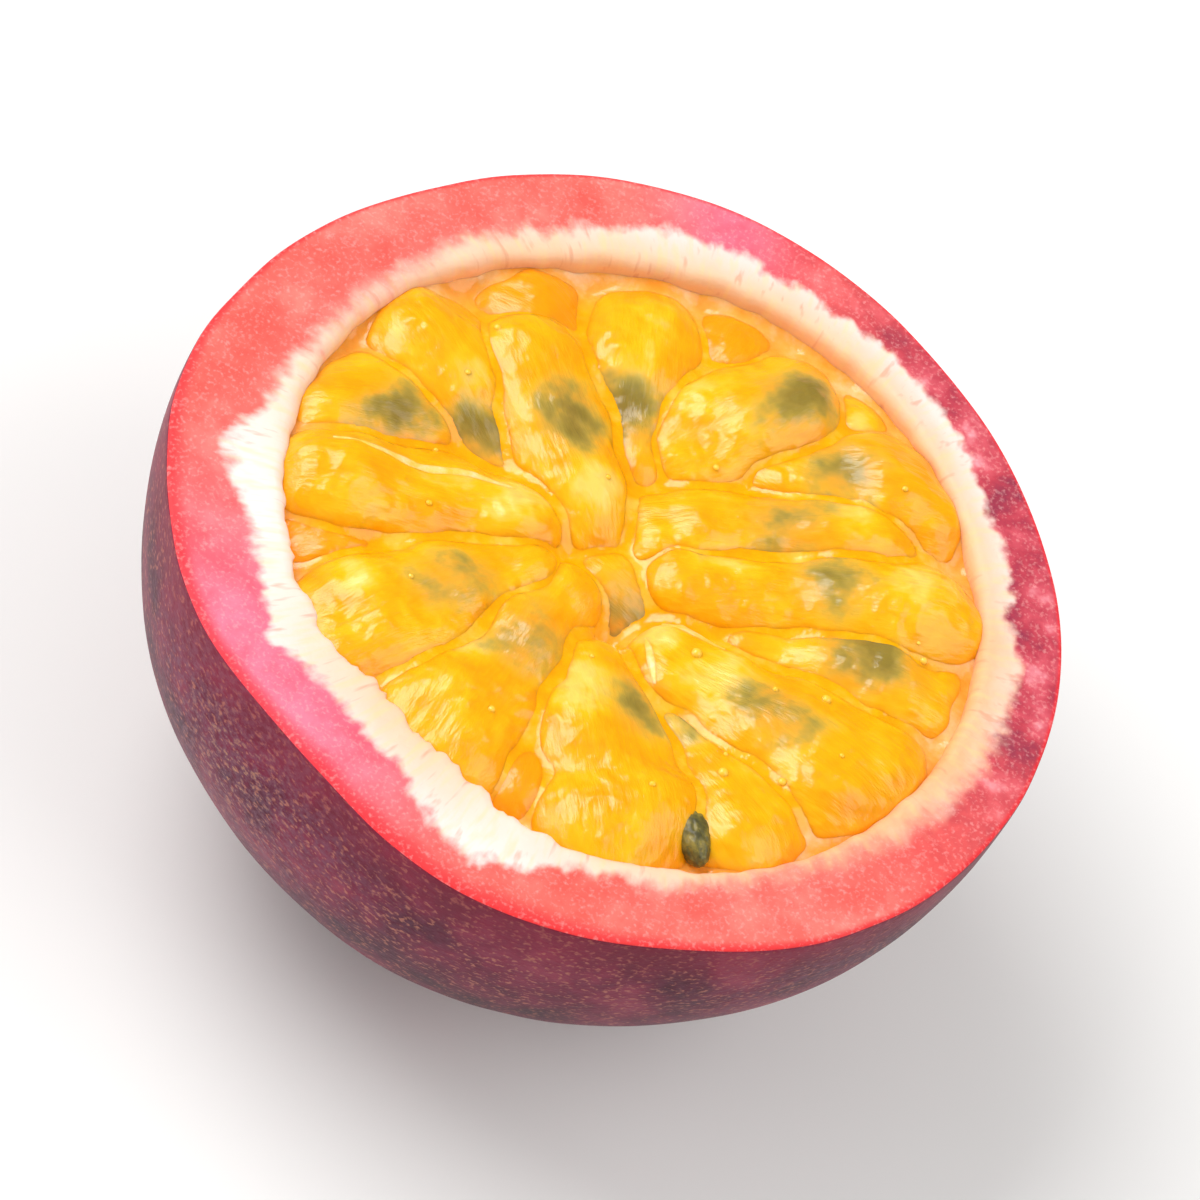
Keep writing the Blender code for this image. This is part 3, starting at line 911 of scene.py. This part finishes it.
juice_surface = BVHTree.FromObject(juice, bpy.context.evaluated_depsgraph_get())
for name, (sac, own_axes) in sac_pieces.items():
    rows = positions(sac)
    found = [juice_surface.find_nearest(Vector(row)) for row in rows]
    proud = np.array([(Vector(row) - hit[0]) @ hit[1] for row, hit in zip(rows, found)])
    # Painted shade: amber near the juice round a sac, lower down, and all over the deepest sacs.
    low = 1 - smooth_step(-0.05 * MM, 0.14 * MM, proud)
    low = np.maximum(0.55 * low, smooth_step(2.5 * MM, 6.0 * MM, CUT_HEIGHT - rows[:, 2]))
    if name in DEEP_SHADED_SACS:
        low = np.maximum(low, 0.7)
    point_values(sac, "low", low)
    # Painted glow: how strongly each point lies in one of the listed patches.
    painted_glow = np.zeros(len(rows))
    for bearing_degrees, reach_mm, size, strength in GLOW_PATCHES:
        away = np.hypot(*(rows[:, :2] - polar_place(bearing_degrees, reach_mm)).T) / (size * MM)
        painted_glow = np.maximum(painted_glow, strength * (1 - smooth_step(0.3, 1.3, away)))
    point_values(sac, "painted_glow", painted_glow)
    over_seed = np.zeros(len(rows))
    surface = BVHTree.FromObject(sac, bpy.context.evaluated_depsgraph_get())
    for bearing_degrees, reach_mm, under, strength in SEEDS.get(name, ()):
        above = Vector((*polar_place(bearing_degrees, reach_mm), OVER_ALL))
        hit = surface.ray_cast(above, Vector((0, 0, -1)))[0]
        if hit is None:
            continue
        centre = np.array(hit) - (0, 0, under * MM)
        away = np.linalg.norm((rows - centre) @ own_axes / SEED_HALVES, axis=1)
        over_seed = np.maximum(over_seed, strength * (1 - smooth_step(0.2, 2.2, away)))
    point_values(sac, "seed", over_seed)
    sac.data.materials.append(jelly)
    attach(sac, "root")
    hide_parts(name)

# ---------------------------------------------------------------------------------------------
# Scraps that the knife left: pale membranes torn off the sacs, thin as wet paper. Each is a
# ribbon laid over the pulp, curled at its edges.

# Each scrap: its path as (bearing, reach), and half its width, in degrees and millimetres.
SCRAPS = (
    (((189, 20.5), (187, 17.5), (184, 14.0), (177, 11.0), (170, 8.0)), 0.40),
    (((312, 9.5), (315, 7.5), (322, 5.5)), 0.30),
    (((354, 9.5), (352, 7.0), (345, 5.0)), 0.40),
)
ACROSS = 5
PAPER = 0.07 * MM
CURL = np.array((-0.05, 0.03, 0.06, 0.03, -0.03)) * MM


def resting_height(spot):
    """The height of the topmost surface under a spot of the pulp."""
    down = Vector((0, 0, -1))
    hits = [surface.ray_cast(Vector((*spot, OVER_ALL)), down)[0] for surface in surfaces]
    return max((hit.z for hit in hits if hit), default=CUT_HEIGHT - 3 * MM)


surfaces = [
    BVHTree.FromObject(piece, bpy.context.evaluated_depsgraph_get())
    for piece in [juice, *(sac for sac, _ in sac_pieces.values())]
]
scrap_rows, scrap_faces = [], []
for number, (path, half) in enumerate(SCRAPS):
    knots = np.array([polar_place(*spot) for spot in path])
    spaced = np.linspace(0, len(knots) - 1, 8 * len(knots))
    line = np.c_[[np.interp(spaced, range(len(knots)), knots[:, k]) for k in range(2)]].T
    across = np.gradient(line, axis=0)[:, ::-1] * (-1, 1)
    across /= np.linalg.norm(across, axis=1)[:, None]
    taper = np.sin(np.linspace(0.25, 2.9, len(line)))
    first = len(scrap_rows)
    for i, spot in enumerate(line):
        waver = noise.noise(Vector((number * 9, i * 0.35, 0)))
        width = half * MM * taper[i] * (1 + 0.5 * waver)
        for k, share in enumerate(np.linspace(-1, 1, ACROSS)):
            at = spot + across[i] * share * width
            waver = 0.12 * MM * noise.noise(Vector((number * 5, i * 0.4, k * 0.8)))
            height = resting_height(at) + CURL[k] + waver
            scrap_rows.append((*at, min(height, CUT_HEIGHT + 0.6 * MM)))
    for i in range(len(line) - 1):
        for k in range(ACROSS - 1):
            corner = first + i * ACROSS + k
            scrap_faces.append((corner, corner + 1, corner + ACROSS + 1, corner + ACROSS))
scrap_mesh = bpy.data.meshes.new("torn_membranes")
scrap_mesh.from_pydata(scrap_rows, [], scrap_faces)
scraps = bpy.data.objects.new("torn_membranes", scrap_mesh)
bpy.context.scene.collection.objects.link(scraps)
deselect()
scraps.select_set(True)
apply(scraps, "SMOOTH", factor=0.5, iterations=3)
apply(scraps, "SOLIDIFY", thickness=PAPER, offset=0.0)
apply(scraps, "SUBSURF", levels=2, render_levels=2)
scraps.data.shade_smooth()

# Wet membrane, torn: soaked with juice, so it is pale yellow and shines like the sacs.
membrane, tree, shader = new_material("wet passion fruit membrane")
place = node(tree, "ShaderNodeTexCoord").outputs["Object"]
veins = node(
    tree, "ShaderNodeTexNoise", {"Vector": place, "Scale": 900, "Detail": 4, "Roughness": 0.7}
)
membrane_colour = node(
    tree,
    "ShaderNodeValToRGB",
    {"Fac": veins.outputs["Fac"]},
    stops=((0.35, "#FDC23C"), (0.5, "#FDD068"), (0.65, "#FCDC98")),
)
tree.links.new(membrane_colour.outputs["Color"], shader.inputs["Base Color"])
shader.inputs["Roughness"].default_value = 0.3
shader.inputs["IOR"].default_value = 1.38
shader.inputs["Coat Weight"].default_value = 0.5
shader.inputs["Coat Roughness"].default_value = 0.1
scraps.data.materials.append(membrane)
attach(scraps, "root")

# ---------------------------------------------------------------------------------------------
# One seed slipped out of its sac and lies by the pith: hard, flat, pointed and pitted, near
# black with olive patches.

SEED_SPOT = (308, 21.4)
SEED_SIZE = (2.3 * MM, 1.25 * MM, 1.2 * MM)
SEED_SUNK = 0.5 * MM
deselect()
bpy.ops.mesh.primitive_uv_sphere_add(segments=64, ring_count=40, radius=1.0, location=(0, 0, 0))
seed = bpy.context.object
seed.name = "loose_seed"
rows = positions(seed)
pits = smooth_step(0.1, 0.6, rough(rows, 0.22, 22))
rows *= (1 + 0.04 * rough(rows, 0.8, 21) - 0.05 * pits)[:, None]
rows *= SEED_SIZE
rows[:, 1] *= 1 - 0.25 * rows[:, 0] / SEED_SIZE[0]
angle = math.radians(SEED_SPOT[0])
turned = np.array(Matrix.Rotation(angle, 3, "Z"))
spot = polar_place(*SEED_SPOT)
rows = rows @ turned.T + (*spot, resting_height(spot) - SEED_SUNK)
place_vertices(seed, rows)
seed.data.shade_smooth()

# Seed coat, hard and woody: half matt, with a thin wet film that catches the light.
seed_coat, tree, shader = new_material("passion fruit seed coat")
place = node(tree, "ShaderNodeTexCoord").outputs["Object"]
patches = node(
    tree, "ShaderNodeTexNoise", {"Vector": place, "Scale": 1300, "Detail": 3, "Roughness": 0.6}
)
seed_colour = node(
    tree,
    "ShaderNodeValToRGB",
    {"Fac": patches.outputs["Fac"]},
    stops=((0.36, "#4A4620"), (0.50, "#6C632A"), (0.64, "#94822F")),
)
tree.links.new(seed_colour.outputs["Color"], shader.inputs["Base Color"])
shader.inputs["Roughness"].default_value = 0.5
shader.inputs["Coat Weight"].default_value = 0.25
shader.inputs["Coat Roughness"].default_value = 0.1
seed.data.materials.append(seed_coat)
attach(seed, "root")

# ---------------------------------------------------------------------------------------------
# Air bubbles in the juice: tiny round beads that stand half out of the wet film. Each is a ball
# of juice skin, a little flattened.

# Each bubble: bearing, reach and radius in millimetres.
BUBBLES = (
    (337, 8.5, 0.38), (345, 14.0, 0.22), (329, 19.5, 0.30), (341, 20.5, 0.18), (318, 17.5, 0.36),
    (322, 16.0, 0.16), (13, 22.0, 0.26), (15, 21.3, 0.15), (352, 17.0, 0.34), (300, 18.5, 0.24),
    (47, 22.0, 0.22), (75, 12.0, 0.24), (117, 6.5, 0.20), (139, 19.0, 0.26), (152, 16.5, 0.22),
    (173, 14.0, 0.18), (196, 13.0, 0.24), (222, 15.0, 0.20), (262, 16.5, 0.26), (283, 8.0, 0.18),
)
bubbles = []
for bearing_degrees, reach_mm, size in BUBBLES:
    spot = polar_place(bearing_degrees, reach_mm)
    deselect()
    bpy.ops.mesh.primitive_ico_sphere_add(subdivisions=3, radius=size * MM, location=(0, 0, 0))
    bubble = bpy.context.object
    rows = positions(bubble) * (1, 1, 0.8)
    place_vertices(bubble, rows + (*spot, resting_height(spot) + 0.1 * size * MM))
    bubble.data.shade_smooth()
    bubbles.append(bubble)
deselect()
for bubble in bubbles:
    bubble.select_set(True)
bpy.context.view_layer.objects.active = bubbles[0]
bpy.ops.object.join()
beads = bpy.context.object
beads.name = "juice_bubbles"

# Juice skin, blown thin: golden, and as glossy as glass.
film, tree, shader = new_material("bubble of juice")
place = node(tree, "ShaderNodeTexCoord").outputs["Object"]
drift = node(tree, "ShaderNodeTexNoise", {"Vector": place, "Scale": 300, "Detail": 1})
film_colour = node(
    tree,
    "ShaderNodeValToRGB",
    {"Fac": drift.outputs["Fac"]},
    stops=((0.35, "#FFC21E"), (0.65, "#FFCE48")),
)
tree.links.new(film_colour.outputs["Color"], shader.inputs["Base Color"])
shader.inputs["Roughness"].default_value = 0.05
shader.inputs["IOR"].default_value = 1.34
shader.inputs["Coat Weight"].default_value = 1.0
shader.inputs["Coat Roughness"].default_value = 0.03
beads.data.materials.append(film)
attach(beads, "root")

# ---------------------------------------------------------------------------------------------
# The studio: a white table, two softboxes and a fill in a bright room, and a long lens that
# looks down on the cut face with the fruit leaning to the right in the frame.

TABLE = 1.6
deselect()
bpy.ops.mesh.primitive_plane_add(size=TABLE, location=(0, 0, 0))
floor = bpy.context.object
floor.name = "table"
paint, tree, shader = new_material("matt white table")
shader.inputs["Base Color"].default_value = colour("#F4F3F1")
shader.inputs["Roughness"].default_value = 0.8
floor.data.materials.append(paint)

CAMERA_RISE = math.radians(52)
CAMERA_ROLL = math.radians(28.6)
CAMERA_DISTANCE = 0.55
CAMERA_LENS = 245
LOOK_AT = Vector((0.0006, 0.0020, 0.0234))

towards = Vector((0, -math.cos(CAMERA_RISE), math.sin(CAMERA_RISE)))
turn = towards.to_track_quat("Z", "Y") @ Matrix.Rotation(CAMERA_ROLL, 3, "Z").to_quaternion()
lens = bpy.data.cameras.new("camera")
lens.lens = CAMERA_LENS
lens.sensor_width = 36
camera = bpy.data.objects.new("camera", lens)
camera.location = LOOK_AT + towards * CAMERA_DISTANCE
camera.rotation_euler = turn.to_euler()
bpy.context.scene.collection.objects.link(camera)
bpy.context.scene.camera = camera

# Each softbox: direction seen from the camera (right, up, back), distance, width, height, power.
SOFTBOXES = {
    "top softbox": ((-0.25, 0.80, 0.55), 0.75, 0.60, 0.45, 4.3),
    "left softbox": ((-0.92, 0.22, 0.32), 0.75, 0.35, 0.60, 2.2),
    "right fill": ((0.85, 0.10, 0.60), 0.90, 0.80, 0.80, 3.2),
}
for name, (direction, distance, width, height, power) in SOFTBOXES.items():
    light = bpy.data.lights.new(name, "AREA")
    light.shape = "RECTANGLE"
    light.size = width
    light.size_y = height
    light.energy = power
    aim = (turn @ Vector(direction)).normalized()
    holder = bpy.data.objects.new(name, light)
    holder.location = LOOK_AT + aim * distance
    holder.rotation_euler = aim.to_track_quat("Z", "Y").to_euler()
    bpy.context.scene.collection.objects.link(holder)

world = bpy.data.worlds.new("bright room")
world.use_nodes = True
room = world.node_tree.nodes["Background"]
room.inputs["Color"].default_value = colour("#FFFFFF")
# Dark flags stand round the lens, so that gloss shows the softboxes and not a white room.
path = node(world.node_tree, "ShaderNodeLightPath")
brightness = node(
    world.node_tree,
    "ShaderNodeMapRange",
    {"Value": path.outputs["Is Glossy Ray"], "To Min": 0.52, "To Max": 0.07},
)
backdrop = node(
    world.node_tree,
    "ShaderNodeMath",
    {0: path.outputs["Is Camera Ray"], 1: 0.42, 2: brightness.outputs[0]},
    operation="MULTIPLY_ADD",
)
world.node_tree.links.new(backdrop.outputs[0], room.inputs["Strength"])
bpy.context.scene.world = world
bpy.context.scene.view_settings.view_transform = "Standard"
